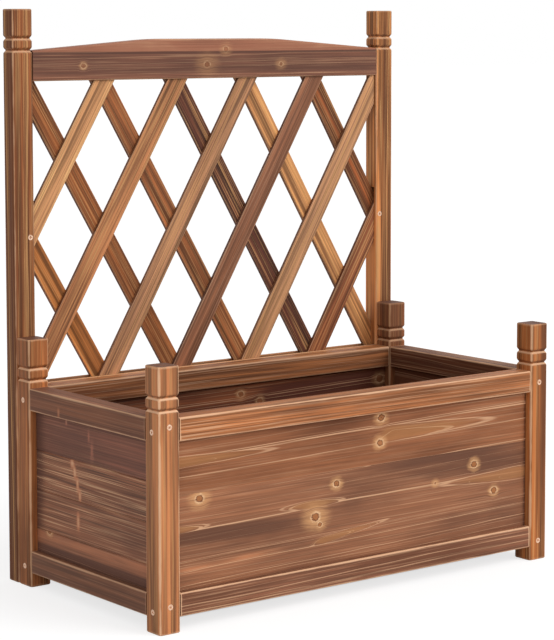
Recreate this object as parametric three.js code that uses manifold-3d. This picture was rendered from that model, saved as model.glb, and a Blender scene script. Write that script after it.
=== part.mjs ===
import * as THREE from 'three';
import { mergeVertices } from 'three/addons/utils/BufferGeometryUtils.js';
import Module from 'manifold-3d';

// Floor planter with a trellis back, in millimetres.
// X runs along the width, Y from the front to the back, Z up, origin on the floor under the middle.

// overall size
const overallWidth = 640;
const overallDepth = 350;
const overallHeight = 746;

// posts: four short ones at the corners of the box, two tall ones behind it for the trellis
const postSize = 31;
const shortPostHeight = 323;
const tallPostDepth = 26;
const postRound = 4.5;
const postCapRound = 1.8;
const footChamfer = 1;

// turned rings near the top of each post, by their drop below the top
const ringDrops = [53, 37.5];
const ringDepth = 2.8;
const ringHalfWidth = 4.2;
const ringFloorHalfWidth = 0.5;
const ringCurve = 1.5;

// rails between the posts
const railHeight = 29;
const railSetback = 1;
const railRound = 2.5;
const lowRailBottom = 18.5;
const highRailDrop = 63;

// wall boards, held in grooves in the rails and posts; the top one takes what height is left
const boardThickness = 10;
const boardSideGap = 0.2;
const boardEndGap = 0.3;
const boardEdgeChamfer = 0.4;
const railGrooveDepth = 6;
const postGrooveDepth = 5;
const tongueThickness = 3.2;
const tongueLength = 4;
const tongueGap = 0.25;
const narrowestBoard = 25;
const wideWall = { firstBoard: 122, board: 122, jointChamfer: 0.5 };
const sideWall = { firstBoard: 36, board: 51.2, jointChamfer: 1.3 };

// floor slats, laid across the ledges of the low rails
const floorSlatCount = 8;
const floorSlatGap = 6;
const floorSlatThickness = 9;
const floorSlatRound = 1;
const floorEndGap = 0.5;
const floorSideGap = 1;

// trellis rails
const crownDrop = 39;
const crownEndHeight = 39.5;
const crownMiddleHeight = 54;
const crownFlatWidth = 200;
const crownKneeWidth = 50;
const crownKneeSteps = 5;

// lattice: whole diamonds across and up, crossing just past the edges of its frame
const latticeBays = 5;
const latticeRows = 2;
const latticeNodeInset = 7;
const latticeNodeDrop = 2;
const latticeNodeSink = 8;
const latticeSetback = 5;
const slatWidth = 27.5;
const slatThickness = 6;
const slatChamfer = 0.7;
const crownGrooveDepth = 10;
const footGrooveDepth = 12;
const slatSideGap = 0.2;
const slatEndGap = 0.2;
const mortiseDepth = 8;

// screw sinks: those of the box by their rise above the bottom of the rail that the screw holds
const sinkMouthRadius = 3.8;
const sinkFloorRadius = 1.8;
const sinkDepth = 2.6;
const upperSinkRise = { low: 14.5, high: 19 };
const lowerSinkRise = { low: 7.5, high: 12.5 };
const latticeSinkInset = 7;
const backSinkHeights = [62, 215];

// fineness of rounded shapes
const cornerSteps = 4;
const edgeSteps = 3;
const capSteps = 4;
const ringSteps = 3;
const sinkSegments = 20;

// how far a cutting tool runs past the surface it starts from
const overcut = 20;

// worked-out sizes
const innerX = overallWidth / 2 - postSize;
const boxDepth = overallDepth - tallPostDepth;
const boxInnerY = boxDepth / 2 - postSize;
const boxY = -tallPostDepth / 2;
const trellisY = boxDepth / 2;
const postX = overallWidth / 2 - postSize / 2;
const postY = boxDepth / 2 - postSize / 2;
const railDepth = postSize - 2 * railSetback;
const trellisRailDepth = tallPostDepth - 2 * railSetback;
const highRailBottom = shortPostHeight - highRailDrop - railHeight;
const boardBottom = lowRailBottom + railHeight - railGrooveDepth;
const boardTop = highRailBottom + railGrooveDepth - boardEndGap;
const boardReach = postGrooveDepth - boardEndGap;
const boardGrooveWidth = boardThickness + 2 * boardSideGap;
const crownRailBottom = overallHeight - crownDrop - crownMiddleHeight;
const latticeTop = crownRailBottom + crownGrooveDepth - slatEndGap;
const latticeFoot = highRailBottom + railHeight - footGrooveDepth;
const latticeY = latticeSetback + slatThickness - tallPostDepth / 2;
const latticeGrooveWidth = 2 * (slatThickness + slatSideGap);
const latticePitch = (2 * (innerX + latticeNodeInset)) / latticeBays;
const latticeNodeTop = crownRailBottom - latticeNodeDrop;
const latticeNodeBottom = highRailBottom + railHeight - latticeNodeSink;
const latticeRowHeight = (latticeNodeTop - latticeNodeBottom) / latticeRows;
const latticeAngle = Math.atan2(latticeRowHeight, latticePitch);

const wasm = await Module();
wasm.setup();

function woodMaterial(name, color, roughness) {
  const material = new THREE.MeshStandardMaterial({ color, roughness, metalness: 0 });
  material.name = name;
  return material;
}

const postWood = woodMaterial('post_wood', 0x9a6238, 0.68);
const railWood = woodMaterial('rail_wood', 0x8f5a38, 0.68);
const boardWood = woodMaterial('board_wood', 0x7a4c34, 0.72);
const latticeWood = woodMaterial('lattice_wood', 0xa06a3e, 0.66);
const crownWood = woodMaterial('crown_wood', 0x7a4a34, 0.7);
const floorWood = woodMaterial('floor_wood', 0x8a5c3c, 0.75);

// ---- solids ----

function solidOf(geometry) {
  geometry.deleteAttribute('normal');
  geometry.deleteAttribute('uv');
  const merged = mergeVertices(geometry, 1e-5);
  const mesh = new wasm.Mesh({
    numProp: 3,
    vertProperties: new Float32Array(merged.getAttribute('position').array),
    triVerts: new Uint32Array(merged.index.array),
  });
  return new wasm.Manifold(mesh);
}

function geometryOf(solid) {
  const mesh = solid.getMesh();
  const geometry = new THREE.BufferGeometry();
  geometry.setAttribute('position', new THREE.Float32BufferAttribute(mesh.vertProperties, 3));
  geometry.setIndex(Array.from(mesh.triVerts));
  geometry.computeVertexNormals();
  return geometry;
}

// a box between two corners, given in either order on each axis
function boxSolid(corner, opposite) {
  const box = new THREE.Box3();
  box.setFromPoints([new THREE.Vector3(...corner), new THREE.Vector3(...opposite)]);
  const size = box.getSize(new THREE.Vector3());
  const centre = box.getCenter(new THREE.Vector3());
  const geometry = new THREE.BoxGeometry(size.x, size.y, size.z);
  geometry.translate(centre.x, centre.y, centre.z);
  return solidOf(geometry);
}

// a skin over rings of points, all with the same count, closed by a flat face at each end
function skinnedSolid(rings) {
  const count = rings[0].length;
  const faces = [];
  for (let ring = 0; ring < rings.length - 1; ring += 1) {
    for (let i = 0; i < count; i += 1) {
      const next = (i + 1) % count;
      const low = ring * count;
      const high = low + count;
      faces.push(low + i, low + next, high + next);
      faces.push(low + i, high + next, high + i);
    }
  }
  const last = (rings.length - 1) * count;
  for (let i = 1; i < count - 1; i += 1) {
    faces.push(0, i + 1, i);
    faces.push(last, last + i, last + i + 1);
  }
  const geometry = new THREE.BufferGeometry();
  geometry.setAttribute('position', new THREE.Float32BufferAttribute(rings.flat(2), 3));
  geometry.setIndex(faces);
  return solidOf(geometry);
}

// a straight member centred on X = 0 that runs along X, with its profile drawn in Y and Z
function memberSolid(profile, length) {
  const geometry = new THREE.ExtrudeGeometry(profile, {
    depth: length,
    bevelEnabled: false,
    curveSegments: edgeSteps,
  });
  const alongY = new THREE.Vector3(0, 1, 0);
  const alongZ = new THREE.Vector3(0, 0, 1);
  const alongX = new THREE.Vector3(1, 0, 0);
  geometry.applyMatrix4(new THREE.Matrix4().makeBasis(alongY, alongZ, alongX));
  geometry.translate(-length / 2, 0, 0);
  return solidOf(geometry);
}

function roundedProfile(width, height, round) {
  const right = width / 2 - round;
  const top = height - round;
  const profile = new THREE.Shape();
  profile.absarc(right, round, round, -Math.PI / 2, 0);
  profile.absarc(right, top, round, 0, Math.PI / 2);
  profile.absarc(-right, top, round, Math.PI / 2, Math.PI);
  profile.absarc(-right, round, round, Math.PI, Math.PI * 1.5);
  return profile;
}

// ---- posts ----

function roundedRing(halfX, halfY, round, z) {
  const ring = [];
  const corners = [
    [1, 1],
    [-1, 1],
    [-1, -1],
    [1, -1],
  ];
  corners.forEach(([signX, signY], quarter) => {
    for (let step = 0; step <= cornerSteps; step += 1) {
      const angle = ((quarter + step / cornerSteps) * Math.PI) / 2;
      const x = signX * (halfX - round) + round * Math.cos(angle);
      const y = signY * (halfY - round) + round * Math.sin(angle);
      ring.push([x, y, z]);
    }
  });
  return ring;
}

// pairs of a height and how far the surface lies inside the full section there
function postStations(height) {
  const stations = [
    [0, footChamfer],
    [footChamfer, 0],
  ];
  for (const drop of ringDrops) {
    for (let step = -ringSteps; step <= ringSteps; step += 1) {
      const share = 1 - Math.abs(step) / ringSteps;
      const offset = ringHalfWidth + (ringFloorHalfWidth - ringHalfWidth) * share;
      const inset = ringDepth * share ** ringCurve;
      if (step <= 0) {
        stations.push([height - drop - offset, inset]);
      }
      if (step >= 0) {
        stations.push([height - drop + offset, inset]);
      }
    }
  }
  for (let step = 0; step <= capSteps; step += 1) {
    const angle = ((step / capSteps) * Math.PI) / 2;
    const z = height - postCapRound * (1 - Math.sin(angle));
    stations.push([z, postCapRound * (1 - Math.cos(angle))]);
  }
  return stations;
}

function turnedPost(sizeX, sizeY, height) {
  const rings = postStations(height).map(([z, inset]) =>
    roundedRing(sizeX / 2 - inset, sizeY / 2 - inset, postRound - inset, z),
  );
  return skinnedSolid(rings);
}

// the cone under a screw head, with its mouth centred on the surface that faces outward
function screwSink(mouth, outward) {
  const flare = (sinkMouthRadius - sinkFloorRadius) / sinkDepth;
  const above = 1;
  const geometry = new THREE.CylinderGeometry(
    sinkMouthRadius + flare * above,
    sinkFloorRadius,
    sinkDepth + above,
    sinkSegments,
  );
  geometry.translate(0, (above - sinkDepth) / 2, 0);
  const coneAxis = new THREE.Vector3(0, 1, 0);
  const turn = new THREE.Quaternion();
  turn.setFromUnitVectors(coneAxis, new THREE.Vector3(...outward));
  geometry.applyQuaternion(turn);
  geometry.translate(...mouth);
  return solidOf(geometry);
}

// signX is -1 at the left and 1 at the right, signY -1 at the front and 1 at the back;
// the right post is the left one turned a quarter, so its sinks swap their heights
function shortPost(signX, signY) {
  const half = postSize / 2;
  const floor = half - postGrooveDepth;
  const side = boardGrooveWidth / 2;
  const low = boardBottom - boardEndGap;
  const high = boardTop + boardEndGap;
  const faceRise = signX < 0 ? upperSinkRise : lowerSinkRise;
  const sideRise = signX < 0 ? lowerSinkRise : upperSinkRise;
  let post = turnedPost(postSize, postSize, shortPostHeight);
  post = post.subtract(boxSolid([-signX * floor, -side, low], [-signX * overcut, side, high]));
  post = post.subtract(boxSolid([-side, -signY * floor, low], [side, -signY * overcut, high]));
  for (const level of ['low', 'high']) {
    const rail = level === 'low' ? lowRailBottom : highRailBottom;
    const sideMouth = [signX * half, 0, rail + sideRise[level]];
    post = post.subtract(screwSink(sideMouth, [signX, 0, 0]));
    if (signY < 0) {
      const frontMouth = [0, -half, rail + faceRise[level]];
      post = post.subtract(screwSink(frontMouth, [0, -1, 0]));
    }
  }
  return post;
}

// the heights at which the lattice crosses itself at a tall post
function sideNodeHeights() {
  const heights = [];
  for (let row = 1; row < latticeRows; row += 1) {
    heights.push(latticeNodeTop - row * latticeRowHeight);
  }
  return heights;
}

// the pocket in a tall post for a crossing, in the trellis frame, shrunk by a clearance
function mortiseSolid(signX, height, clearance) {
  const slatHalf = slatWidth / 2 / Math.cos(latticeAngle);
  const spread = latticeNodeInset * Math.tan(latticeAngle);
  const halfHeight = slatHalf + spread + slatSideGap - clearance;
  const floorX = signX * (innerX + mortiseDepth - clearance);
  const halfY = latticeGrooveWidth / 2;
  return boxSolid(
    [signX * (innerX - overcut), latticeY - halfY, height - halfHeight],
    [floorX, latticeY + halfY, height + halfHeight],
  );
}

function tallPost(signX) {
  let post = turnedPost(postSize, tallPostDepth, overallHeight);
  for (const height of sideNodeHeights()) {
    const mortise = mortiseSolid(signX, height, 0).translate([-signX * postX, 0, 0]);
    const sinkX = signX * (innerX + latticeSinkInset - postX);
    const sink = screwSink([sinkX, -tallPostDepth / 2, height], [0, -1, 0]);
    post = post.subtract(mortise).subtract(sink);
  }
  for (const height of backSinkHeights) {
    post = post.subtract(screwSink([0, tallPostDepth / 2, height], [0, 1, 0]));
  }
  return post;
}

// ---- rails ----

function boxRail(length, isHigh) {
  const rail = memberSolid(roundedProfile(railDepth, railHeight, railRound), length);
  const half = boardGrooveWidth / 2;
  const floor = isHigh ? railGrooveDepth : railHeight - railGrooveDepth;
  const mouth = isHigh ? -overcut : railHeight + overcut;
  return rail.subtract(boxSolid([-length, -half, floor], [length, half, mouth]));
}

function latticeGroove(floor, mouth) {
  const half = latticeGrooveWidth / 2;
  return boxSolid([-innerX - 1, latticeY - half, floor], [innerX + 1, latticeY + half, mouth]);
}

function footRail() {
  const length = 2 * innerX;
  const rail = memberSolid(roundedProfile(trellisRailDepth, railHeight, railRound), length);
  return rail.subtract(latticeGroove(railHeight - footGrooveDepth, railHeight + overcut));
}

// the crown is level in the middle, slopes evenly to the ends and bends softly between
function crownHeight(x) {
  const fall = (crownMiddleHeight - crownEndHeight) / (innerX - crownFlatWidth / 2);
  const pastKnee = Math.abs(x) - crownFlatWidth / 2;
  const intoKnee = pastKnee + crownKneeWidth / 2;
  if (intoKnee <= 0) {
    return crownMiddleHeight;
  }
  if (intoKnee >= crownKneeWidth) {
    return crownMiddleHeight - fall * pastKnee;
  }
  return crownMiddleHeight - (fall * intoKnee ** 2) / (2 * crownKneeWidth);
}

function crownRing(inset, y) {
  const ring = [
    [-innerX, y, inset],
    [innerX, y, inset],
  ];
  const kneeStart = crownFlatWidth / 2 - crownKneeWidth / 2;
  const spots = [innerX];
  for (let step = crownKneeSteps; step >= 0; step -= 1) {
    spots.push(kneeStart + (step / crownKneeSteps) * crownKneeWidth);
  }
  const mirrored = spots.map((x) => -x).reverse();
  for (const x of [...spots, ...mirrored]) {
    ring.push([x, y, crownHeight(x) - inset]);
  }
  return ring;
}

function crownRail() {
  const half = trellisRailDepth / 2;
  const backRings = [];
  const frontRings = [];
  for (let step = 0; step <= edgeSteps; step += 1) {
    const angle = ((step / edgeSteps) * Math.PI) / 2;
    const inset = railRound * (1 - Math.sin(angle));
    const y = half - railRound * (1 - Math.cos(angle));
    backRings.push(crownRing(inset, y));
    frontRings.unshift(crownRing(inset, -y));
  }
  const rail = skinnedSolid([...backRings, ...frontRings]);
  return rail.subtract(latticeGroove(crownGrooveDepth, -overcut));
}

// ---- walls and floor ----

// the thickness runs along the profile's first axis and the height along its second
function boardProfile(height, joinsBelow, joinsAbove, jointChamfer) {
  const half = boardThickness / 2;
  const low = joinsBelow ? jointChamfer : boardEdgeChamfer;
  const high = joinsAbove ? jointChamfer : boardEdgeChamfer;
  const tongue = tongueThickness / 2;
  const groove = tongue + tongueGap;
  const roof = tongueLength + tongueGap;
  const tip = height + tongueLength;
  const points = [];
  points.push([-half, low], [-half + low, 0]);
  if (joinsBelow) {
    points.push([-groove, 0], [-groove, roof], [groove, roof], [groove, 0]);
  }
  points.push([half - low, 0], [half, low], [half, height - high], [half - high, height]);
  if (joinsAbove) {
    points.push([tongue, height], [tongue, tip], [-tongue, tip], [-tongue, height]);
  }
  points.push([-half + high, height], [-half, height - high]);
  return new THREE.Shape(points.map(([x, y]) => new THREE.Vector2(x, y)));
}

function wallEdges(wall) {
  const edges = [boardBottom];
  let joint = boardBottom + wall.firstBoard;
  while (joint < boardTop - narrowestBoard) {
    edges.push(joint);
    joint += wall.board;
  }
  return [...edges, boardTop];
}

// the boards of one wall from the bottom up, each with the height it stands at
function wallBoards(wall, clearLength) {
  const edges = wallEdges(wall);
  const length = clearLength + 2 * boardReach;
  const last = edges.length - 2;
  return edges.slice(0, -1).map((bottom, i) => {
    const height = edges[i + 1] - bottom;
    const profile = boardProfile(height, i > 0, i < last, wall.jointChamfer);
    return { bottom, solid: memberSolid(profile, length) };
  });
}

function floorSlats() {
  const clear = 2 * (innerX - floorSideGap);
  const width = (clear + floorSlatGap) / floorSlatCount - floorSlatGap;
  const length = 2 * (postY - boardThickness / 2 - floorEndGap);
  const slats = [];
  for (let i = 0; i < floorSlatCount; i += 1) {
    const x = -clear / 2 + width / 2 + i * (width + floorSlatGap);
    const profile = roundedProfile(width, floorSlatThickness, floorSlatRound);
    slats.push({ x, solid: memberSolid(profile, length) });
  }
  return slats;
}

// ---- lattice, cut in place in the trellis frame ----

function latticeRoom() {
  const halfX = innerX - slatEndGap;
  const halfY = latticeGrooveWidth / 2;
  let room = boxSolid([-halfX, latticeY - halfY, latticeFoot], [halfX, latticeY + halfY, latticeTop]);
  for (const height of sideNodeHeights()) {
    room = room.add(mortiseSolid(-1, height, slatEndGap)).add(mortiseSolid(1, height, slatEndGap));
  }
  return room;
}

function slatProfile() {
  const half = slatWidth / 2;
  const cut = slatChamfer;
  const corners = [
    [-half, cut],
    [-half + cut, 0],
    [half - cut, 0],
    [half, cut],
    [half, slatThickness - cut],
    [half - cut, slatThickness],
    [-half + cut, slatThickness],
    [-half, slatThickness - cut],
  ];
  return new THREE.Shape(corners.map(([x, y]) => new THREE.Vector2(x, y)));
}

// lean is 1 for a slat that rises to the right and -1 for one that rises to the left
function latticeSlat(lean, index, room) {
  const headX = lean * (index * latticePitch - innerX - latticeNodeInset);
  const bellyY = lean > 0 ? latticeY - slatThickness : latticeY;
  const reach = overallHeight;
  const geometry = new THREE.ExtrudeGeometry(slatProfile(), {
    depth: 2 * reach,
    bevelEnabled: false,
  });
  geometry.translate(0, 0, -reach);
  geometry.rotateY(lean * (Math.PI / 2 - latticeAngle));
  geometry.translate(headX, bellyY, latticeNodeTop);
  return solidOf(geometry).intersect(room);
}

// ---- the whole planter ----

function place(group, name, solid, material, position = [0, 0, 0], quarterTurns = 0) {
  const mesh = new THREE.Mesh(geometryOf(solid), material);
  mesh.name = name;
  mesh.position.set(...position);
  mesh.rotation.z = (quarterTurns * Math.PI) / 2;
  group.add(mesh);
}

const ends = [
  [-1, 'front'],
  [1, 'rear'],
];
const sides = [
  [-1, 'left'],
  [1, 'right'],
];
const levels = [
  [false, 'low', lowRailBottom],
  [true, 'high', highRailBottom],
];

function planterBox() {
  const box = new THREE.Group();
  box.position.y = boxY;
  for (const [signY, end] of ends) {
    for (const [signX, side] of sides) {
      const post = shortPost(signX, signY);
      place(box, `post_${end}_${side}`, post, postWood, [signX * postX, signY * postY, 0]);
    }
    for (const [isHigh, level, bottom] of levels) {
      const rail = boxRail(2 * innerX, isHigh);
      place(box, `rail_${end}_${level}`, rail, railWood, [0, signY * postY, bottom]);
    }
    wallBoards(wideWall, 2 * innerX).forEach(({ bottom, solid }, i) => {
      place(box, `board_${end}_${i + 1}`, solid, boardWood, [0, signY * postY, bottom]);
    });
  }
  for (const [signX, side] of sides) {
    for (const [isHigh, level, bottom] of levels) {
      const rail = boxRail(2 * boxInnerY, isHigh);
      place(box, `rail_${side}_${level}`, rail, railWood, [signX * postX, 0, bottom], signX);
    }
    wallBoards(sideWall, 2 * boxInnerY).forEach(({ bottom, solid }, i) => {
      place(box, `board_${side}_${i + 1}`, solid, boardWood, [signX * postX, 0, bottom], signX);
    });
  }
  floorSlats().forEach(({ x, solid }, i) => {
    place(box, `floor_slat_${i + 1}`, solid, floorWood, [x, 0, lowRailBottom + railHeight], 1);
  });
  return box;
}

function trellis() {
  const frame = new THREE.Group();
  frame.position.y = trellisY;
  for (const [signX, side] of sides) {
    place(frame, `trellis_post_${side}`, tallPost(signX), postWood, [signX * postX, 0, 0]);
  }
  place(frame, 'trellis_crown_rail', crownRail(), crownWood, [0, 0, crownRailBottom]);
  place(frame, 'trellis_foot_rail', footRail(), railWood, [0, 0, highRailBottom]);
  const room = latticeRoom();
  const layers = [
    [1, 'front'],
    [-1, 'rear'],
  ];
  for (const [lean, layer] of layers) {
    for (let index = 1; index < latticeBays + latticeRows; index += 1) {
      place(frame, `lattice_${layer}_${index}`, latticeSlat(lean, index, room), latticeWood);
    }
  }
  return frame;
}

const planter = new THREE.Group();
planter.name = 'planter_with_trellis';
planter.add(planterBox());
planter.add(trellis());

export default planter;
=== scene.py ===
import math

import bmesh
import bpy
from mathutils import Matrix, Vector


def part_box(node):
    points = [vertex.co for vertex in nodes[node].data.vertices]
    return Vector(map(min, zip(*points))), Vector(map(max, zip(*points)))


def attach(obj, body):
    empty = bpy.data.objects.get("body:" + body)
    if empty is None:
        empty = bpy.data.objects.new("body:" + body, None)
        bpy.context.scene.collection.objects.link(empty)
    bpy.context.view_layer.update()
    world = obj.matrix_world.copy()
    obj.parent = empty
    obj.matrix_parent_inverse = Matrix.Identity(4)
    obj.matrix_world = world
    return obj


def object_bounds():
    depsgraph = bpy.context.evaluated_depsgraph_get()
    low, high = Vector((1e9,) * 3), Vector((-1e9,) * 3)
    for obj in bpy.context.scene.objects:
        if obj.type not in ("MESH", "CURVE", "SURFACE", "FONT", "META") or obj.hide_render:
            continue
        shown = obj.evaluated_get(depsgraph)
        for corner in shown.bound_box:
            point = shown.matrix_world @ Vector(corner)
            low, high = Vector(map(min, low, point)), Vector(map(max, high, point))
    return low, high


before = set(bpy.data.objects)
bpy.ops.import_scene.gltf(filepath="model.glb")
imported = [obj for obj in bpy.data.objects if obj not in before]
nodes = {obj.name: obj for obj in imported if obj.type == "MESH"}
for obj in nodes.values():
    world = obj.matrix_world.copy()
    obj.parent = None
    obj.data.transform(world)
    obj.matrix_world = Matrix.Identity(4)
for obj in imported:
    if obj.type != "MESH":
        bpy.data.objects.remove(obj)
cadLow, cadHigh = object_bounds()
print("frame loaded with", len(nodes), "nodes")


def linearFrom(tone):
    # a colour as it looks on paper, 0 to 255, turned into the linear values that shaders use
    shares = [part / 255 for part in tone]
    return [s / 12.92 if s < 0.04045 else ((s + 0.055) / 1.055) ** 2.4 for s in shares] + [1.0]


def fillSocket(tree, socket, value):
    if isinstance(value, bpy.types.NodeSocket):
        tree.links.new(value, socket)
    else:
        socket.default_value = value


def addNode(tree, kind, inputs=None, **settings):
    node = tree.nodes.new(kind)
    for name, value in settings.items():
        setattr(node, name, value)
    for key, value in (inputs or {}).items():
        fillSocket(tree, node.inputs[key], value)
    return node


def calc(tree, operation, *values):
    node = addNode(tree, "ShaderNodeMath", operation=operation)
    for socket, value in zip(node.inputs, values):
        fillSocket(tree, socket, value)
    return node.outputs[0]


def ease(tree, value, start, end, low=0.0, high=1.0):
    # goes smoothly from low to high as the value goes from start to end
    inputs = {"Value": value, "From Min": start, "From Max": end, "To Min": low, "To Max": high}
    return addNode(tree, "ShaderNodeMapRange", inputs, interpolation_type="SMOOTHSTEP").outputs[0]


def blendColour(tree, share, first, second):
    node = addNode(tree, "ShaderNodeMix", data_type="RGBA")
    for socket, value in zip((node.inputs[0], node.inputs[6], node.inputs[7]), (share, first, second)):
        fillSocket(tree, socket, value)
    return node.outputs[2]


def stretchedNoise(tree, point, scale, seed, detail=2.0, roughness=0.5):
    # noise drawn out along the grain: scale holds the steps per metre along, across and through
    shift = addNode(tree, "ShaderNodeCombineXYZ", {"X": seed, "Y": seed, "Z": seed}).outputs[0]
    spot = addNode(tree, "ShaderNodeVectorMath", operation="MULTIPLY_ADD")
    for socket, value in zip(spot.inputs, (point, scale, shift)):
        fillSocket(tree, socket, value)
    inputs = {"Vector": spot.outputs[0], "Scale": 1.0, "Detail": detail, "Roughness": roughness}
    return addNode(tree, "ShaderNodeTexNoise", inputs).outputs[0]


def times(tree, product, *others):
    for other in others:
        product = calc(tree, "MULTIPLY", product, other)
    return product


def split(tree, vector):
    return addNode(tree, "ShaderNodeSeparateXYZ", {0: vector}).outputs


def centredNoise(tree, *settings, **more):
    return calc(tree, "SUBTRACT", stretchedNoise(tree, *settings, **more), 0.5)


def floats(*names):
    return [(name, "Float") for name in names]


def startGroup(name, inputs, outputs):
    tree = bpy.data.node_groups.new(name, "ShaderNodeTree")
    for direction, sockets in (("INPUT", inputs), ("OUTPUT", outputs)):
        for socketName, kind in sockets:
            tree.interface.new_socket(socketName, in_out=direction, socket_type="NodeSocket" + kind)
    return tree, addNode(tree, "NodeGroupInput").outputs


def endGroup(tree, results):
    addNode(tree, "NodeGroupOutput", results)


def useGroup(tree, groupName, inputs):
    node = addNode(tree, "ShaderNodeGroup", node_tree=bpy.data.node_groups[groupName])
    for key, value in inputs.items():
        fillSocket(tree, node.inputs[key], value)
    return node.outputs


knotValues = {
    "alongShare": 0.85,          # below one, a knot is drawn out along the grain
    "push": 0.55,                # how strongly the grain parts round a knot
    "parted": (4.0, 0.7),        # where each of these goes from none to all, in knot radii
    "core": (1.15, 0.9),
    "outside": (0.9, 1.15),
    "rindIn": (0.7, 0.9),
    "rindOut": (1.15, 0.95),
    "heart": (0.2, 0.0),
    "ring": (1.8, 1.2),
    "fullGlow": 1.4,
    "ringBreaks": (0.4, 0.56, 0.35, 1.0),    # wisps from, to, and the strength they give the ring
    "raggedness": 1.05,
    "raggedScale": (330, 330, 60),
    "wispiness": 1.9,
    "wispScale": (90, 330, 60),
}


def makeKnotGroup():
    v = knotValues
    tree, given = startGroup(
        "firKnot",
        [("Point", "Vector")] + floats("Along", "Across", "Radius", "Reach", "Seed"),
        floats("Shift", "Core", "Rind", "Ring", "Glow"),
    )
    place = split(tree, given["Point"])
    along = times(tree, calc(tree, "SUBTRACT", place[0], given["Along"]), v["alongShare"])
    across = calc(tree, "SUBTRACT", place[1], given["Across"])
    squares = calc(tree, "MULTIPLY_ADD", along, along, times(tree, across, across))
    far = calc(tree, "DIVIDE", calc(tree, "SQRT", squares), given["Radius"])
    rough = centredNoise(tree, given["Point"], v["raggedScale"], given["Seed"])
    wisps = stretchedNoise(tree, given["Point"], v["wispScale"], given["Seed"], detail=3.0)
    ragged = calc(tree, "MULTIPLY_ADD", rough, v["raggedness"], far)
    wispy = calc(tree, "MULTIPLY_ADD", calc(tree, "SUBTRACT", wisps, 0.5), v["wispiness"], far)
    outside = ease(tree, ragged, *v["outside"])
    rind = times(tree, ease(tree, ragged, *v["rindIn"]), ease(tree, ragged, *v["rindOut"]))
    ring = times(tree, ease(tree, ragged, *v["ring"]), ease(tree, wisps, *v["ringBreaks"]))
    glow = ease(tree, wispy, given["Reach"], v["fullGlow"])
    endGroup(tree, {
        "Shift": times(tree, across, ease(tree, far, *v["parted"]), -v["push"]),
        "Core": ease(tree, ragged, *v["core"]),
        "Rind": calc(tree, "MAXIMUM", rind, ease(tree, ragged, *v["heart"])),
        "Ring": times(tree, outside, ring),
        "Glow": times(tree, outside, glow),
    })


# rings that the saw met at a low angle: nested arches with a pale rim and a golden field
flameValues = {
    "wobble": 0.004,
    "wobbleScale": (14, 50, 40),
    "rim": (0.11, 0.022),
    "arches": 1.6,             # how many rings nest in a flame
    "kept": (-0.03, 0.01),     # where the side that is left out fades, in metres
    "fullField": 0.5,
}


def makeFlameGroup():
    v = flameValues
    tree, given = startGroup(
        "firFlame",
        [("Point", "Vector")]
        + floats("Along", "Across", "Half Length", "Half Height", "Lean", "Side", "Seed"),
        floats("Bend", "Rim", "Field"),
    )
    place = split(tree, given["Point"])
    along = calc(tree, "SUBTRACT", place[0], given["Along"])
    wander = centredNoise(tree, given["Point"], v["wobbleScale"], given["Seed"], detail=4.0)
    middle = calc(tree, "MULTIPLY_ADD", along, given["Lean"], given["Across"])
    middle = calc(tree, "MULTIPLY_ADD", wander, v["wobble"], middle)
    high = calc(tree, "DIVIDE", calc(tree, "SUBTRACT", place[1], middle), given["Half Height"])
    long = calc(tree, "DIVIDE", calc(tree, "ABSOLUTE", along), given["Half Length"])
    lift = calc(tree, "SUBTRACT", 1.0, calc(tree, "MULTIPLY_ADD", high, high, long))
    kept = ease(tree, times(tree, along, given["Side"]), *v["kept"])
    rim = ease(tree, calc(tree, "ABSOLUTE", lift), *v["rim"])
    inside = times(tree, calc(tree, "MAXIMUM", lift, 0.0), kept)
    endGroup(tree, {
        "Bend": times(tree, inside, v["arches"]),
        "Rim": times(tree, rim, kept),
        "Field": ease(tree, inside, 0.0, v["fullField"]),
    })


# a soft-edged oblong whose wood is scorched more, or less where its strength is below zero; besides scorch
# marks, it paints shade at the ends of walls beside the posts
def makePatchGroup():
    tree, given = startGroup(
        "firPatch",
        [("Point", "Vector")]
        + floats("Along", "Across", "Half Length", "Half Height", "Edge", "Strength"),
        floats("Mask"),
    )
    place = split(tree, given["Point"])
    outer = calc(tree, "ADD", 1.0, given["Edge"])
    inner = calc(tree, "SUBTRACT", 1.0, given["Edge"])
    mask = given["Strength"]
    for spot, centre, half in ((place[0], "Along", "Half Length"), (place[1], "Across", "Half Height")):
        away = calc(tree, "ABSOLUTE", calc(tree, "SUBTRACT", spot, given[centre]))
        share = calc(tree, "DIVIDE", away, given[half])
        mask = times(tree, mask, ease(tree, share, outer, inner))
    endGroup(tree, {"Mask": mask})


# the log that a piece is sawn from: growth rings round a pith, fibres, strands and scorched clouds
figureValues = {
    "wobble": 0.007,                       # how far rings wander, in metres
    "wobbleScale": (3.0, 16, 16),
    "ringDrift": 1.6,                      # how uneven the ring widths are
    "driftPace": 0.31,                     # how soon they change, per ring
    "lineIn": (0.85, 0.93),                # where in a ring its pale line comes and goes
    "lineOut": (1.0, 0.95),
    "lineYears": (0.0, 0.9, 0.15, 1.0),    # how its strength differs from year to year
    "fibreScale": (7, 620, 620),
    "strandAlong": 3.2,
    "cloudScale": (4.5, 20, 20),
}


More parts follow.
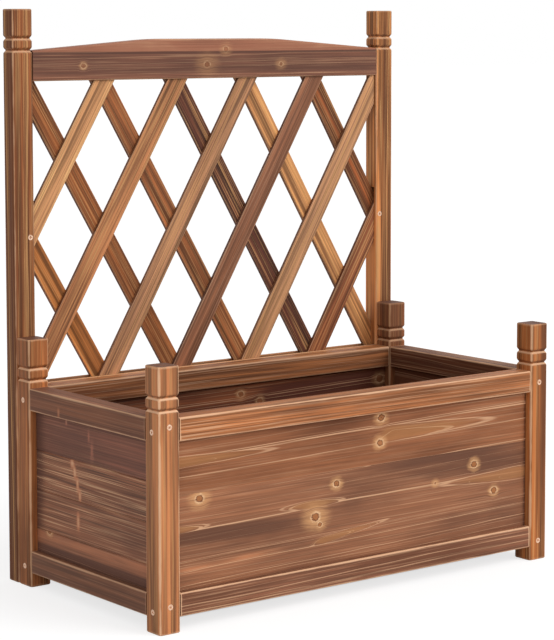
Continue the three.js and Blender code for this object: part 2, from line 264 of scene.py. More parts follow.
def makeFigureGroup():
    v = figureValues
    tree, given = startGroup(
        "firFigure",
        [("Point", "Vector")]
        + floats("Bend", "Pith Across", "Pith Deep", "Slope", "Ring Width", "Strand Count", "Seed"),
        floats("Rise", "Line", "Fibre", "Strand", "Cloud"),
    )
    point, seed, strands = given["Point"], given["Seed"], given["Strand Count"]
    place = split(tree, point)
    pith = calc(tree, "MULTIPLY_ADD", place[0], given["Slope"], given["Pith Across"])
    across = calc(tree, "SUBTRACT", place[1], pith)
    deep = calc(tree, "SUBTRACT", place[2], given["Pith Deep"])
    squares = calc(tree, "MULTIPLY_ADD", across, across, times(tree, deep, deep))
    wander = centredNoise(tree, point, v["wobbleScale"], seed, detail=3.0)
    radius = calc(tree, "MULTIPLY_ADD", wander, v["wobble"], calc(tree, "SQRT", squares))
    count = calc(tree, "ADD", calc(tree, "DIVIDE", radius, given["Ring Width"]), given["Bend"])
    pace = calc(tree, "MULTIPLY_ADD", count, v["driftPace"], seed)
    drift = addNode(tree, "ShaderNodeTexNoise", {"W": pace}, noise_dimensions="1D").outputs[0]
    count = calc(tree, "MULTIPLY_ADD", drift, v["ringDrift"], count)
    rise = calc(tree, "FRACT", count)
    year = calc(tree, "ADD", calc(tree, "FLOOR", count), seed)
    year = addNode(tree, "ShaderNodeTexWhiteNoise", {"W": year}, noise_dimensions="1D").outputs[0]
    line = times(tree, ease(tree, rise, *v["lineIn"]), ease(tree, rise, *v["lineOut"]))
    strandScale = addNode(tree, "ShaderNodeCombineXYZ", {0: v["strandAlong"], 1: strands, 2: strands})
    endGroup(tree, {
        "Rise": rise,
        "Line": times(tree, line, ease(tree, year, *v["lineYears"])),
        "Fibre": stretchedNoise(tree, point, v["fibreScale"], seed, detail=1.0),
        "Strand": stretchedNoise(tree, point, strandScale.outputs[0], seed),
        "Cloud": stretchedNoise(tree, point, v["cloudScale"], seed, detail=4.0, roughness=0.55),
    })


# where hands, brush and flame reached: worn arrises, cut ends and the sides of a slat; in turned hollows,
# painted shade on the faces that look down, and worn wood with a painted highlight on the lips that look up
edgeValues = {
    "raggedScale": (14, 60, 60),
    "widthSwing": (0.3, 0.7, 0.7, 1.2),    # noise from and to, and what it makes of the wear's width
    "bareShare": 0.35,             # the share of a worn edge's width that is quite bare
    "endTurn": (0.75, 0.97),       # how far a face is turned along the grain
    "wornLitLipTurn": (0.2, 0.6),
    "grooveShadeTurn": (0.1, -0.5),
    "flankTurn": (0.5, 0.9),       # how far it is turned across the grain
    "hollow": (0.0003, 0.0012),    # how deep a turned hollow lies under the faces, in metres
}


def makeEdgeGroup():
    v = edgeValues
    tree, given = startGroup(
        "firEdges",
        [("Point", "Vector"), ("Facing", "Vector"), ("Half Size", "Vector")] + floats("Wear", "Seed"),
        floats("Arris", "Cap", "Tip", "End", "Worn Lit Lip", "Groove Shade", "Flank"),
    )
    reach = addNode(tree, "ShaderNodeVectorMath", {0: given["Point"]}, operation="ABSOLUTE").outputs[0]
    gap = addNode(tree, "ShaderNodeVectorMath", {0: given["Half Size"], 1: reach}, operation="SUBTRACT")
    near, facing = split(tree, gap.outputs[0]), split(tree, given["Facing"])
    ragged = stretchedNoise(tree, given["Point"], v["raggedScale"], given["Seed"], detail=3.0,
                            roughness=0.6)
    width = times(tree, given["Wear"], ease(tree, ragged, *v["widthSwing"]))
    bare = times(tree, width, v["bareShare"])
    ends, across, deep = [ease(tree, near[i], width, bare) for i in range(3)]
    end = ease(tree, calc(tree, "ABSOLUTE", facing[0]), *v["endTurn"])
    flat = calc(tree, "SUBTRACT", 1.0, end)
    hollow = ease(tree, calc(tree, "MINIMUM", near[1], near[2]), *v["hollow"])
    endGroup(tree, {
        "Arris": times(tree, across, deep),
        "Cap": times(tree, ends, calc(tree, "MAXIMUM", across, deep), flat),
        "Tip": times(tree, ends, flat),
        "End": end,
        "Worn Lit Lip": times(tree, hollow, flat, ease(tree, facing[0], *v["wornLitLipTurn"])),
        "Groove Shade": times(tree, hollow, ease(tree, facing[0], *v["grooveShadeTurn"])),
        "Flank": ease(tree, calc(tree, "ABSOLUTE", facing[1]), *v["flankTurn"]),
    })


firValues = {
    "worn": (240, 192, 152),                  # arrises and lips; on the up-facing lips of the hollows it is worn wood and a painted highlight both
    "gold": (184, 128, 76),                   # the field of a flame
    "glow": (212, 158, 108),                  # wisps round a knot
    "ring": (238, 196, 152),
    "core": (170, 108, 62),
    "rind": (84, 44, 26),
    "endGrain": (92, 58, 44),
    "darkStrand": (0.5, 0.36),                # where noise becomes a mark, from none to all
    "brightStrand": (0.5, 0.64),
    "darkFibre": (0.5, 0.3),
    "paleFibre": (0.54, 0.7),
    "burntCloud": (0.55, 1.1),
    "brightCloud": (0.5, 0.1),
    "bareCloud": (0.15, -0.2),
    "lineBreaks": (0.3, 0.6, 0.45, 1.0),
    "innerShadeTurn": (0.2, 0.8),
    "scorchPush": 0.6,
    "ringShade": (0.3, 0.1),                  # how dark a ring grows, by contrast and at least
    "strengths": {"char": 0.85, "bright": 0.8, "bare": 0.85, "field": 0.4, "glow": 0.8, "rim": 0.8,
                  "ring": 0.85, "core": 0.85, "rind": 0.7, "grooveShade": 0.5, "end": 0.85},
    "relief": {"rise": 0.35, "fibre": 0.6, "strand": 0.8, "core": -0.4},
    "bumpHeight": 0.0005,
    "bumpStrength": 0.7,
    "roughness": 0.58,
    "fibreRoughness": 0.25,
    "charRoughness": 0.1,
    "shine": 0.2,
}
firMarks = ("Core", "Rind", "Ring", "Glow", "Rim", "Field")


def makeFirGroup():
    v = firValues
    strength = v["strengths"]
    tree, given = startGroup(
        "scorchedFir",
        [("Point", "Vector"), ("Parted", "Vector"), ("Facing", "Vector"), ("Half Size", "Vector")]
        + [(name, "Color") for name in ("Wood", "Dark", "Bright", "Char", "Pale")]
        + floats(*firMarks, "Bend", "Patch", "Pith Across", "Pith Deep", "Slope", "Ring Width",
                 "Strand Count", "Seed", "Contrast", "Hair", "Scorch", "Lines", "Wear", "Rub", "Cap Rub",
                 "Tip Rub", "Flank", "Inside"),
        [("Color", "Color"), ("Roughness", "Float"), ("Normal", "Vector")],
    )
    figureNames = ("Bend", "Pith Across", "Pith Deep", "Slope", "Ring Width", "Strand Count", "Seed")
    figureInputs = {name: given[name] for name in figureNames}
    figure = useGroup(tree, "firFigure", {"Point": given["Parted"], **figureInputs})
    edgeNames = ("Point", "Facing", "Half Size", "Wear", "Seed")
    edge = useGroup(tree, "firEdges", {name: given[name] for name in edgeNames})

    def lay(colour, share, paint, *strengths):
        return blendColour(tree, times(tree, share, *strengths), colour, paint)

    def tone(name):
        return linearFrom(v[name])

    dark, bright, char, pale = given["Dark"], given["Bright"], given["Char"], given["Pale"]
    contrast, hair = given["Contrast"], given["Hair"]
    colour = lay(given["Wood"], ease(tree, figure["Strand"], *v["darkStrand"]), dark, contrast)
    colour = lay(colour, ease(tree, figure["Strand"], *v["brightStrand"]), bright, contrast)
    colour = lay(colour, ease(tree, figure["Fibre"], *v["darkFibre"]), dark, hair)
    colour = lay(colour, ease(tree, figure["Fibre"], *v["paleFibre"]), pale, hair)
    ringShade = calc(tree, "MULTIPLY_ADD", contrast, *v["ringShade"])
    colour = lay(colour, figure["Rise"], dark, figure["Rise"], ringShade)
    cloud = calc(tree, "MULTIPLY_ADD", given["Scorch"], v["scorchPush"], figure["Cloud"])
    cloud = calc(tree, "ADD", cloud, given["Patch"])
    burnt = ease(tree, cloud, *v["burntCloud"])
    broken = ease(tree, figure["Fibre"], *v["lineBreaks"])
    colour = lay(colour, burnt, char, strength["char"])
    colour = lay(colour, ease(tree, cloud, *v["brightCloud"]), bright, strength["bright"])
    colour = lay(colour, ease(tree, cloud, *v["bareCloud"]), pale, broken, strength["bare"])
    colour = lay(colour, figure["Line"], pale, broken, given["Lines"])
    colour = lay(colour, given["Field"], tone("gold"), strength["field"])
    colour = lay(colour, given["Glow"], tone("glow"), broken, strength["glow"])
    colour = lay(colour, given["Rim"], pale, broken, strength["rim"])
    colour = lay(colour, given["Ring"], tone("ring"), broken, strength["ring"])
    colour = lay(colour, given["Core"], tone("core"), strength["core"])
    colour = lay(colour, given["Rind"], tone("rind"), strength["rind"])
    colour = lay(colour, edge["Flank"], char, given["Flank"])
    # painted shade on the faces of a turned hollow that look down
    colour = lay(colour, edge["Groove Shade"], char, strength["grooveShade"])
    colour = lay(colour, edge["End"], tone("endGrain"), strength["end"])
    # worn arrises, and on the up-facing lips of the hollows worn wood together with a painted highlight
    worn = calc(tree, "MAXIMUM", edge["Arris"], edge["Worn Lit Lip"])
    worn = calc(tree, "MAXIMUM", worn, times(tree, edge["Cap"], given["Cap Rub"]))
    worn = calc(tree, "MAXIMUM", worn, times(tree, edge["Tip"], given["Tip Rub"]))
    colour = lay(colour, worn, tone("worn"), given["Rub"])
    # painted shade inside the box: the faces that look into the box are darkened towards the char tone; the
    # strength is below zero where the side that looks into the box faces against the piece's depth
    facing = times(tree, split(tree, given["Facing"])[2], calc(tree, "SIGN", given["Inside"]))
    inner = ease(tree, facing, *v["innerShadeTurn"])
    colour = lay(colour, inner, char, calc(tree, "ABSOLUTE", given["Inside"]))

    fibre = calc(tree, "SUBTRACT", figure["Fibre"], 0.5)
    rough = calc(tree, "MULTIPLY_ADD", fibre, v["fibreRoughness"], v["roughness"])
    rough = calc(tree, "MULTIPLY_ADD", burnt, v["charRoughness"], rough)
    relief = v["relief"]
    height = times(tree, figure["Fibre"], relief["fibre"])
    height = calc(tree, "MULTIPLY_ADD", figure["Rise"], relief["rise"], height)
    height = calc(tree, "MULTIPLY_ADD", figure["Strand"], relief["strand"], height)
    height = calc(tree, "MULTIPLY_ADD", given["Core"], relief["core"], height)
    bump = addNode(tree, "ShaderNodeBump", {"Strength": v["bumpStrength"], "Distance": v["bumpHeight"],
                                            "Height": height}).outputs[0]
    endGroup(tree, {"Color": colour, "Roughness": rough, "Normal": bump})


makeKnotGroup()
makeFlameGroup()
makePatchGroup()
makeFigureGroup()
makeEdgeGroup()
makeFirGroup()
print("wood groups made")


# scorched wood and brushed late wood; the char tones also paint the shade on the faces inside the box and
# in the posts' grooves
charTones = {"brown": (92, 52, 32), "smoke": (92, 59, 45), "purple": (90, 60, 50), "red": (70, 30, 19)}
paleTones = {"gold": (214, 160, 104), "cream": (216, 168, 130), "dusk": (178, 132, 104)}
leftRearShade = (0.125, 0.15, 0.02, 0.3, 0.7, 0.4)    # the darker rear end of the left wall

# what each piece of wood looks like; a longer name adds to the shorter ones that it starts with
# knots hold along, up, radius and reach of the glow; flames hold along, up, half length, half height,
# lean and the side that is kept; patches hold along, up, half sizes, edge and strength, pale below zero
# inside darkens the faces that look into the box towards the char tone: painted shade inside the box
firLooks = {
    "": {"wood": (150, 97, 66), "char": "brown", "pale": "gold", "contrast": 0.6, "hair": 0.4,
         "scorch": 0.3, "lines": 0.6, "rub": 0.5, "wear": 0.0022, "ring": 0.0055, "pith": (0.05, 0.06),
         "slope": 0.01, "strands": 330, "capRub": 0.0, "tipRub": 0.0, "flank": 0.0, "inside": 0.0,
         "knotShow": 1.0, "knots": [], "flames": [], "patches": []},
    "post_": {"wood": (172, 104, 60), "lines": 0.5, "wear": 0.0034, "rub": 0.75, "capRub": 0.35,
              "strands": 125, "contrast": 0.8, "hair": 0.4},
    "post_front_left": {"wood": (170, 109, 70), "rub": 1.0, "capRub": 0.4,
                        "patches": [(0.16, -0.3065, 0.5, 0.0022, 0.6, -0.45)]},
    "post_front_right": {"wood": (162, 97, 52), "rub": 0.75, "contrast": 0.65, "scorch": 0.15,
                         "patches": [(0.14, 0.2955, 0.13, 0.004, 0.5, -0.4),
                                     (0.14, 0.312, 0.4, 0.006, 0.6, 0.4)]},
    "post_rear_right": {"wood": (136, 82, 50), "scorch": 0.45, "rub": 0.4},
    "trellis_post_": {"wood": (146, 88, 51), "scorch": 0.35, "lines": 0.8, "wear": 0.003, "rub": 0.6,
                      "capRub": 0.4, "strands": 190, "contrast": 1.0, "hair": 0.9},
    "trellis_post_left": {"wood": (150, 88, 51), "contrast": 0.8, "hair": 0.6, "strands": 120,
                          "patches": [(0.35, -0.3205, 0.5, 0.0013, 0.5, 0.6)]},
    "trellis_post_right": {"wood": (192, 121, 70), "strands": 260, "hair": 1.0, "lines": 1.0, "ring": 0.004,
                           "patches": [(0.33, 0.2925, 0.12, 0.004, 0.5, -0.5),
                                       (0.33, 0.308, 0.12, 0.006, 0.6, 0.3),
                                       (0.45, 0.294, 0.6, 0.004, 0.5, -0.3),
                                       (0.45, 0.305, 0.6, 0.004, 0.5, 0.25)]},
    "rail_": {"wood": (180, 115, 72), "pale": "cream", "lines": 0.8, "rub": 0.8, "strands": 220,
              "contrast": 0.8, "hair": 0.75, "wear": 0.0026, "tipRub": 0.8},
    "rail_front_high": {"wood": (183, 114, 69), "contrast": 0.55},
    "rail_front_low": {"wood": (141, 92, 68), "scorch": 0.45, "hair": 0.6, "contrast": 0.35},
    "rail_left_": {"wood": (129, 81, 56), "char": "purple", "pale": "dusk", "scorch": 0.4, "lines": 0.4,
                   "rub": 0.6, "tipRub": 0.3, "contrast": 0.4, "hair": 0.4},
    "rail_left_high": {"patches": [(0.049, 0.238, 0.0025, 0.006, 0.7, -0.8)]},
    "rail_left_low": {"wood": (119, 77, 55)},
    "rail_right_": {"wood": (118, 72, 46), "char": "red", "scorch": 0.4, "inside": 0.3, "contrast": 0.5,
                    "hair": 0.5},
    "rail_rear_": {"wood": (171, 108, 64), "char": "red", "inside": 0.4},
    "board_": {"char": "purple", "pale": "cream", "rub": 0.3, "wear": 0.0011, "ring": 0.009,
               "pith": (0.12, 0.07), "slope": 0.02, "contrast": 0.22, "hair": 0.35, "lines": 0.9},
    "board_front_": {"wood": (162, 106, 74), "char": "smoke", "contrast": 0.16, "hair": 0.34, "lines": 0.9},
    # the patch at 0.294 along darkens each front board's end beside the right post: scorch, and painted
    # shade where the wall meets the post
    "board_front_1": {
        "knots": [(-0.254, 0.156, 0.0042, 4.6), (-0.041, 0.147, 0.0036, 3.4), (-0.075, 0.109, 0.0048, 5.4),
                  (-0.068, 0.0985, 0.0026, 5.0), (0.195, 0.143, 0.004, 3.2), (0.126, 0.126, 0.0014, 6.0),
                  (0.231, 0.103, 0.004, 2.8)],
        "flames": [(-0.079, 0.126, 0.05, 0.006, 0.0, 0), (-0.3, 0.122, 0.058, 0.006, 0.0, 1),
                   (-0.06, 0.078, 0.1, 0.005, 0.11, 1), (0.28, 0.122, 0.14, 0.009, 0.0, -1)],
        "patches": [(-0.21, 0.11, 0.09, 0.008, 0.8, 0.35), (0.15, 0.16, 0.1, 0.008, 0.8, 0.15),
                    (-0.175, 0.074, 0.035, 0.004, 0.8, -0.5), (0.294, 0.1, 0.006, 0.2, 0.7, 0.6),
                    (0.21, 0.126, 0.09, 0.003, 0.9, -0.35), (-0.26, 0.071, 0.04, 0.003, 0.9, -0.4),
                    (0.3, 0.1, 0.4, 0.2, 0.9, 0.14)],
    },
    "board_front_2": {
        "wood": (166, 105, 69), "char": "brown",
        "knots": [(0.033, 0.2235, 0.0042, 3.4), (0.031, 0.191, 0.004, 3.4)],
        "flames": [(0.05, 0.2015, 0.172, 0.011, 0.0, 1), (-0.3, 0.2035, 0.156, 0.0075, 0.0, 1)],
        "patches": [(0.294, 0.2, 0.006, 0.2, 0.7, 0.6), (0.3, 0.2, 0.4, 0.2, 0.9, 0.14)],
    },
    "board_rear_": {
        "wood": (138, 80, 48), "char": "red", "scorch": 0.5, "inside": 0.38, "contrast": 0.9,
        "knotShow": 0.6,
        "knots": [(0.027, 0.216, 0.0036, 3.0), (0.06, 0.203, 0.0036, 2.8), (0.279, 0.213, 0.005, 3.0)],
        "patches": [(0.175, 0.2, 0.1, 0.02, 0.5, 0.8)],
    },
    "board_right_": {"inside": 0.55, "char": "red"},
    "board_left_": {"wood": (153, 99, 72), "pale": "dusk", "scorch": 0.35, "lines": 0.5, "ring": 0.006,
                    "hair": 0.5, "patches": [leftRearShade]},
    "board_left_4": {"wood": (132, 83, 66), "scorch": 0.4, "lines": 0.3, "hair": 0.4, "contrast": 0.4,
                     "patches": [leftRearShade, (-0.006, 0.214, 0.002, 0.007, 0.9, -0.7),
                                 (-0.013, 0.198, 0.003, 0.011, 0.9, -0.65),
                                 (0.046, 0.226, 0.002, 0.004, 0.7, -0.8)]},
    "board_left_3": {"pale": "cream", "lines": 1.0, "hair": 1.0, "ring": 0.0035, "contrast": 0.12,
                     "patches": [leftRearShade, (0.033, 0.175, 0.004, 0.006, 0.9, -0.85),
                                 (0.027, 0.164, 0.003, 0.008, 0.9, -0.85),
                                 (0.021, 0.15, 0.003, 0.009, 0.9, -0.85),
                                 (0.0155, 0.136, 0.003, 0.009, 0.9, -0.85)]},
    "board_left_2": {"pale": "cream", "scorch": 0.4, "hair": 0.8, "contrast": 0.12,
                     "patches": [leftRearShade, (0.02, 0.103, 0.0035, 0.011, 0.9, -0.85)]},
    "board_left_1": {"knots": [(0.0887, 0.0775, 0.0034, 3.0)], "knotShow": 0.6,
                     "patches": [(0.0, 0.071, 0.4, 0.005, 0.5, -0.35), (0.0, 0.053, 0.4, 0.006, 0.4, 0.5),
                                 (0.021, 0.086, 0.003, 0.007, 0.7, -0.8)]},
    "trellis_crown_rail": {
        "wood": (131, 85, 66), "char": "purple", "pale": "cream", "scorch": 0.35, "lines": 0.8,
        "rub": 0.4, "contrast": 0.3, "hair": 0.45, "knotShow": 0.4,
        "knots": [(0.0195, 0.6925, 0.0032, 4.0), (-0.0125, 0.672, 0.0034, 7.0),
                  (0.115, 0.671, 0.0024, 5.0), (-0.212, 0.672, 0.003, 2.4)],
        "patches": [(0.0, 0.715, 0.6, 0.025, 0.04, -0.6), (0.0, 0.6885, 0.6, 0.0012, 0.6, 0.5),
                    (-0.06, 0.673, 0.17, 0.012, 0.8, 0.25), (0.0, 0.655, 0.6, 0.004, 0.8, -0.3)],
    },
    "lattice_": {"scorch": 0.25, "lines": 0.7, "wear": 0.0012, "rub": 0.4, "ring": 0.006,
                 "pith": (0.04, 0.05), "strands": 150, "contrast": 0.95, "hair": 0.7, "flank": 0.75},
    "lattice_front_1": {"wood": (222, 158, 108), "scorch": 0.1},
    "lattice_front_2": {"wood": (172, 114, 76)},
    "lattice_front_3": {"wood": (182, 130, 95), "scorch": 0.2, "contrast": 0.7},
    "lattice_front_4": {"wood": (148, 96, 68), "char": "purple", "pale": "dusk", "contrast": 0.6},
    "lattice_front_5": {"wood": (202, 146, 106), "scorch": 0.2, "contrast": 0.6},
    "lattice_front_6": {"wood": (156, 90, 57), "scorch": 0.3, "contrast": 0.6},
    "lattice_rear_1": {"wood": (156, 87, 48), "scorch": 0.3},
    "lattice_rear_2": {"wood": (214, 146, 92), "scorch": 0.2},
    "lattice_rear_3": {"wood": (94, 53, 40), "scorch": 0.3},
    "lattice_rear_4": {"wood": (166, 100, 59), "scorch": 0.35},
    "lattice_rear_5": {"wood": (156, 92, 51), "scorch": 0.35},
    "lattice_rear_6": {"wood": (198, 122, 63), "scorch": 0.3},
    "trellis_foot_rail": {"wood": (168, 112, 74), "contrast": 0.8, "hair": 0.7},
    "floor_slat_": {"wood": (124, 82, 58), "char": "red", "scorch": 0.4, "rub": 0.3},
}
shadeValues = {
    "dark": (0.6, 3),             # the factor and the warmth that make a strand's tone from the wood's
    "bright": (1.26, 2),
    "warmth": (1, 0.3, -0.6),
}
latticeSlope = 59.3    # degrees
seedStep = 3.71        # what sets the noise of each piece apart


def lookOf(name):
    look = {}
    for key in sorted(firLooks, key=len):
        if name.startswith(key):
            look.update(firLooks[key])
    return look


# the three directions of a piece: along the grain, across its face and into its depth
def grainOf(name):
    if name.startswith("lattice_"):
        slope = math.radians(latticeSlope)
        lean = 1 if "front" in name else -1
        along = Vector((lean * math.cos(slope), 0, math.sin(slope)))
        return Matrix((along, (-along.z, 0, along.x), (0, -1, 0)))
    if "post" in name:
        return Matrix(((0, 0, 1), (1, 0, 0), (0, 1, 0)))
    if name.startswith("floor_slat"):
        return Matrix(((0, 1, 0), (1, 0, 0), (0, 0, -1)))
    low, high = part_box(name)
    size = high - low
    if size.x > size.y:
        return Matrix(((1, 0, 0), (0, 0, 1), (0, -1, 0)))
    return Matrix(((0, 1, 0), (0, 0, 1), (1, 0, 0)))


def grainBox(name, grain):
    points = [grain @ vertex.co for vertex in nodes[name].data.vertices]
    low = Vector([min(p[i] for p in points) for i in range(3)])
    high = Vector([max(p[i] for p in points) for i in range(3)])
    return (low + high) / 2, (high - low) / 2


def insideOf(name):
    # which way of a wall's depth looks into the box
    return -1 if "_front_" in name or "_right_" in name else 1


def shiftTone(tone, factor, warmth):
    shares = zip(tone, shadeValues["warmth"])
    return linearFrom([min(255, part * factor + warmth * share) for part, share in shares])


def startMaterial(name):
    material = bpy.data.materials.new(name)
    material.use_nodes = True
    material.node_tree.nodes.clear()
    return material, material.node_tree


def makeFirMaterial(name, seed):
    look = lookOf(name)
    grain = grainOf(name)
    centre, half = grainBox(name, grain)
    material, tree = startMaterial("fir_" + name)
    coords = addNode(tree, "ShaderNodeTexCoord").outputs
    turn = grain.to_euler()

    def turned(vector, **more):
        inputs = {"Vector": vector, "Rotation": turn, **more}
        return addNode(tree, "ShaderNodeMapping", inputs, vector_type="POINT").outputs[0]

    point = turned(coords["Object"], Location=-centre)
    facing = turned(coords["Normal"])
    marks = dict.fromkeys(firMarks, 0.0)
    shift, bend, patch = 0.0, 0.0, 0.0

    def markAt(groupName, along, across, inputs):
        spot = {"Point": point, "Along": along - centre.x, "Across": across - centre.y}
        return useGroup(tree, groupName, {**spot, **inputs})

    def gather(outputs, keys, show=1.0):
        for key in keys:
            marks[key] = calc(tree, "MAXIMUM", marks[key], times(tree, outputs[key], show))

    for number, (along, across, radius, reach) in enumerate(look["knots"]):
        inputs = {"Radius": radius, "Reach": reach, "Seed": seed + number}
        knot = markAt("firKnot", along, across, inputs)
        shift = calc(tree, "ADD", shift, knot["Shift"])
        gather(knot, ("Core", "Rind", "Ring", "Glow"), look["knotShow"])
    push = addNode(tree, "ShaderNodeCombineXYZ", {"Y": shift}).outputs[0]
    parted = addNode(tree, "ShaderNodeVectorMath", {0: point, 1: push}, operation="ADD").outputs[0]
    for number, (along, across, halfLength, halfHeight, lean, side) in enumerate(look["flames"]):
        inputs = {"Half Length": halfLength, "Half Height": halfHeight, "Lean": lean, "Side": side,
                  "Seed": seed + number}
        flame = markAt("firFlame", along, across, inputs)
        bend = calc(tree, "ADD", bend, flame["Bend"])
        gather(flame, ("Rim", "Field"))
    for along, across, halfLength, halfHeight, edge, strength in look["patches"]:
        inputs = {"Half Length": halfLength, "Half Height": halfHeight, "Edge": edge, "Strength": strength}
        patch = calc(tree, "ADD", patch, markAt("firPatch", along, across, inputs)["Mask"])
    wood = look["wood"]
    fir = useGroup(tree, "scorchedFir", {
        **marks, "Point": point, "Parted": parted, "Facing": facing, "Half Size": half, "Bend": bend,
        "Patch": patch, "Seed": seed, "Wear": look["wear"], "Rub": look["rub"], "Cap Rub": look["capRub"],
        "Tip Rub": look["tipRub"], "Pith Across": look["pith"][0], "Pith Deep": look["pith"][1],
        "Slope": look["slope"], "Ring Width": look["ring"], "Strand Count": look["strands"],
        "Contrast": look["contrast"], "Hair": look["hair"], "Scorch": look["scorch"],
        "Lines": look["lines"], "Flank": look["flank"], "Inside": look["inside"] * insideOf(name),
        "Wood": linearFrom(wood), "Dark": shiftTone(wood, *shadeValues["dark"]),
        "Bright": shiftTone(wood, *shadeValues["bright"]), "Char": linearFrom(charTones[look["char"]]),
        "Pale": linearFrom(paleTones[look["pale"]]),
    })
    shader = addNode(tree, "ShaderNodeBsdfPrincipled", {
        "Base Color": fir["Color"], "Roughness": fir["Roughness"], "Normal": fir["Normal"],
        "Specular IOR Level": firValues["shine"],
    })
    addNode(tree, "ShaderNodeOutputMaterial", {"Surface": shader.outputs[0]})
    return material


for number, name in enumerate(sorted(nodes)):
    wood = nodes[name]
    wood.data.materials.clear()
    wood.data.materials.append(makeFirMaterial(name, seedStep * (number + 1)))
print("wood finished on", len(nodes), "pieces")


screwValues = {
    "headRadius": 0.00375,
    "neckRadius": 0.0017,
    "headDepth": 0.0024,
    "rimRound": 0.0003,
    "rimSteps": 3,
    "sides": 40,
    "sunk": 0.0001,          # how far the head sits below the wood
    "slotLength": 0.0048,
    "slotWidth": 0.0015,
    "slotDepth": 0.0016,
    "slotTaper": (0.55, 0.7, 1),
    "metal": (252, 218, 190),
    "grime": (216, 164, 126),
    "grimeScale": 900.0,
    "grimeEdge": (0.35, 0.65),
    "grimeBump": (0.3, 0.0001),      # strength and height
    "roughness": (0.25, 0.24),       # what grime adds, and the least
    "metallic": 0.15,
    "upperRise": {"low": 0.0145, "high": 0.019},    # above the rail's underside
    "lowerRise": {"low": 0.0075, "high": 0.0125},
    "latticeInset": 0.007,
    "latticeHeight": 0.4515,
    "backHeights": {"low": 0.062, "high": 0.215},
    "firstTurn": 0.3,        # radians, so that the recesses don't all stand alike
    "turnStep": 0.7,
}


def makeScrewMaterial():
    v = screwValues
    material, tree = startMaterial("plated_steel")
    coords = addNode(tree, "ShaderNodeTexCoord").outputs["Object"]
    inputs = {"Vector": coords, "Scale": v["grimeScale"], "Detail": 3.0}
    grime = addNode(tree, "ShaderNodeTexNoise", inputs).outputs[0]
    share = ease(tree, grime, *v["grimeEdge"])
    colour = blendColour(tree, share, linearFrom(v["metal"]), linearFrom(v["grime"]))
    rough = calc(tree, "MULTIPLY_ADD", grime, *v["roughness"])
    strength, height = v["grimeBump"]
    inputs = {"Strength": strength, "Distance": height, "Height": grime}
    bump = addNode(tree, "ShaderNodeBump", inputs).outputs[0]
    inputs = {"Base Color": colour, "Metallic": v["metallic"], "Roughness": rough, "Normal": bump}
    shader = addNode(tree, "ShaderNodeBsdfPrincipled", inputs)
    addNode(tree, "ShaderNodeOutputMaterial", {"Surface": shader.outputs[0]})
    return material


def meshFrom(bm, name):
    mesh = bpy.data.meshes.new(name)
    bm.to_mesh(mesh)
    bm.free()
    return mesh


def addObject(name, data):
    thing = bpy.data.objects.new(name, data)
    bpy.context.scene.collection.objects.link(thing)
    return thing


# one screw, its head's face on Z = 0 and its axis along Z
def makeScrewMesh():
    v = screwValues
    bm = bmesh.new()
    bmesh.ops.create_cone(bm, cap_ends=True, segments=v["sides"], radius1=v["neckRadius"],
                          radius2=v["headRadius"], depth=v["headDepth"])
    bmesh.ops.translate(bm, verts=bm.verts, vec=(0, 0, -v["headDepth"] / 2))
    rim = [edge for edge in bm.edges if all(vert.co.z > -1e-6 for vert in edge.verts)]
    bmesh.ops.bevel(bm, geom=rim, offset=v["rimRound"], offset_type="OFFSET", segments=v["rimSteps"],
                    profile=0.5, affect="EDGES", material=-1)
    body = addObject("screwBlank", meshFrom(bm, "screwBlank"))
    bm = bmesh.new()
    for turn in (0, 90):
        made = bmesh.ops.create_cube(bm, size=1.0)["verts"]
        scale = (v["slotLength"], v["slotWidth"], 2 * v["slotDepth"])
        bmesh.ops.scale(bm, vec=scale, verts=made)
        low = [vert for vert in made if vert.co.z < 0]
        bmesh.ops.scale(bm, vec=v["slotTaper"], verts=low)
        bmesh.ops.rotate(bm, verts=made, matrix=Matrix.Rotation(math.radians(turn), 3, "Z"))
    cutter = addObject("screwBit", meshFrom(bm, "screwBit"))
    cut = body.modifiers.new("recess", "BOOLEAN")
    cut.object = cutter
    cut.operation = "DIFFERENCE"
    cut.solver = "EXACT"
    cut.use_self = True
    bpy.context.view_layer.update()
    done = bpy.data.meshes.new_from_object(body.evaluated_get(bpy.context.evaluated_depsgraph_get()))
    for thing in (body, cutter):
        bpy.data.objects.remove(thing)
    return done


def placeScrew(name, spot, outward, turn, mesh, material):
    piece = addObject("screw_" + name, mesh.copy())
    facing = Vector(outward).to_track_quat("Z", "Y").to_matrix().to_4x4()
    place = Matrix.Translation(Vector(spot) - Vector(outward) * screwValues["sunk"])
    piece.data.transform(place @ facing @ Matrix.Rotation(turn, 4, "Z"))
    piece.data.materials.clear()
    piece.data.materials.append(material)
    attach(piece, "root")


def placeScrews():
    v = screwValues
    mesh, material = makeScrewMesh(), makeScrewMaterial()
    turn = v["firstTurn"]
    for side, sign in (("left", -1), ("right", 1)):
        # the right-hand posts are the left ones turned a quarter, so their screws swap heights
        faceRise, sideRise = (v["upperRise"], v["lowerRise"])[::-sign]
        tallLow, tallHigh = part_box(f"trellis_post_{side}")
        tallMiddle = (tallLow + tallHigh) / 2
        for level in ("low", "high"):
            for end in ("front", "rear"):
                low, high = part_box(f"post_{end}_{side}")
                middle = (low + high) / 2
                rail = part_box(f"rail_{end}_{level}")[0].z
                turn += v["turnStep"]
                spot = (sign * cadHigh.x, middle.y, rail + sideRise[level])
                placeScrew(f"{end}_{side}_side_{level}", spot, (sign, 0, 0), turn, mesh, material)
                if end == "front":
                    spot = (middle.x, low.y, rail + faceRise[level])
                    placeScrew(f"{end}_{side}_face_{level}", spot, (0, -1, 0), turn, mesh, material)
            spot = (tallMiddle.x, tallHigh.y, v["backHeights"][level])
            placeScrew(f"back_{side}_{level}", spot, (0, 1, 0), turn, mesh, material)
        inner = min(abs(tallLow.x), abs(tallHigh.x))
        spot = (sign * (inner + v["latticeInset"]), tallLow.y, v["latticeHeight"])
        placeScrew(f"trellis_{side}", spot, (0, -1, 0), turn, mesh, material)


placeScrews()
print("screws set")


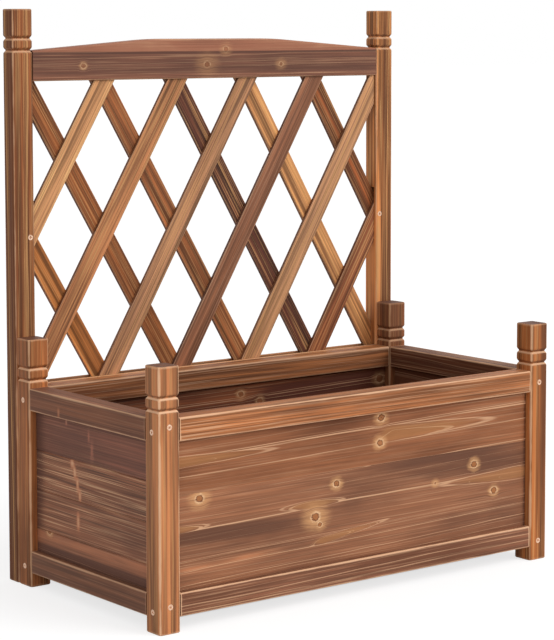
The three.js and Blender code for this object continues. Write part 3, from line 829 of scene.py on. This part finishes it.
stageValues = {
    "floorSize": 60.0,
    "floorTone": 0.82,
    "floorLift": 0.74,      # added for the camera alone, so that the bare floor reads white
    "shadowShare": 0.45,    # how much of the shadow the camera sees
    "plainLow": (-0.282, -0.121),    # the floor under the planter, where nothing is lifted,
    "plainHigh": (0.282, 0.145),     # so that the gaps between the slats stay dark
    "plainEdge": 0.012,
    "ambient": 0.52,
    "keyStrength": 1.6,
    "keyFrom": (0.45, -0.75, 0.62),
    "fillStrength": 0.28,
    "fillFrom": (-0.6, -0.6, 0.5),
    "softness": 40,         # degrees
}


def seenByCamera(tree):
    path = addNode(tree, "ShaderNodeLightPath").outputs
    return calc(tree, "MAXIMUM", path["Is Camera Ray"], path["Is Glossy Ray"])


def makeFloor():
    v = stageValues
    bm = bmesh.new()
    bmesh.ops.create_grid(bm, x_segments=1, y_segments=1, size=v["floorSize"] / 2)
    floor = addObject("floor", meshFrom(bm, "floor"))
    material, tree = startMaterial("pale_floor")
    seen = seenByCamera(tree)
    tone = v["floorTone"]
    grey = addNode(tree, "ShaderNodeMix", {0: seen, 2: tone, 3: tone * v["shadowShare"]}).outputs[0]
    paint = addNode(tree, "ShaderNodeBsdfDiffuse", {"Color": grey}).outputs[0]
    spot = split(tree, addNode(tree, "ShaderNodeTexCoord").outputs["Object"])
    under = 1.0
    for start, end, place in zip(v["plainLow"], v["plainHigh"], spot):
        fadeIn = ease(tree, place, start, start + v["plainEdge"])
        fadeOut = ease(tree, place, end, end - v["plainEdge"])
        under = times(tree, fadeIn, fadeOut, under)
    lift = times(tree, calc(tree, "SUBTRACT", 1.0, under), v["floorLift"], seen)
    glow = addNode(tree, "ShaderNodeEmission", {"Strength": lift}).outputs[0]
    both = addNode(tree, "ShaderNodeAddShader", {0: paint, 1: glow}).outputs[0]
    addNode(tree, "ShaderNodeOutputMaterial", {"Surface": both})
    floor.data.materials.append(material)


def makeWorld():
    world = bpy.data.worlds.new("studio")
    bpy.context.scene.world = world
    world.use_nodes = True
    tree = world.node_tree
    tree.nodes.clear()
    strength = ease(tree, seenByCamera(tree), 0.0, 1.0, stageValues["ambient"], 1.0)
    inputs = {"Color": (1, 1, 1, 1), "Strength": strength}
    sky = addNode(tree, "ShaderNodeBackground", inputs).outputs[0]
    addNode(tree, "ShaderNodeOutputWorld", {"Surface": sky})


def makeSun(name, comesFrom, strength):
    lamp = bpy.data.lights.new(name, "SUN")
    lamp.energy = strength
    lamp.angle = math.radians(stageValues["softness"])
    thing = addObject(name, lamp)
    thing.rotation_mode = "QUATERNION"
    thing.rotation_quaternion = Vector(comesFrom).to_track_quat("Z", "Y")


cameraValues = {
    "spot": (-1.7754, -2.2887, 0.7187),
    "turn": 37.684,       # degrees from straight ahead to the right
    "down": 5.044,
    "tilt": -0.089,
    "lens": 123.73,
    "sensor": 36,
    "shiftX": -0.0008,
    "shiftY": -0.15,
    "clip": (0.05, 100),
}


def makeCamera():
    v = cameraValues
    turn, down = math.radians(v["turn"]), math.radians(v["down"])
    ahead = Vector((math.sin(turn) * math.cos(down), math.cos(turn) * math.cos(down), -math.sin(down)))
    lens = bpy.data.cameras.new("camera")
    lens.lens = v["lens"]
    lens.sensor_width = v["sensor"]
    lens.shift_x = v["shiftX"]
    lens.shift_y = v["shiftY"]
    lens.clip_start, lens.clip_end = v["clip"]
    camera = addObject("camera", lens)
    aim = ahead.to_track_quat("-Z", "Y").to_matrix() @ Matrix.Rotation(math.radians(v["tilt"]), 3, "Z")
    camera.matrix_world = Matrix.Translation(v["spot"]) @ aim.to_4x4()
    bpy.context.scene.camera = camera


makeFloor()
makeWorld()
makeSun("keyLight", stageValues["keyFrom"], stageValues["keyStrength"])
makeSun("fillLight", stageValues["fillFrom"], stageValues["fillStrength"])
makeCamera()
bpy.context.scene.view_settings.view_transform = "Standard"
print("stage, lamps and camera set")
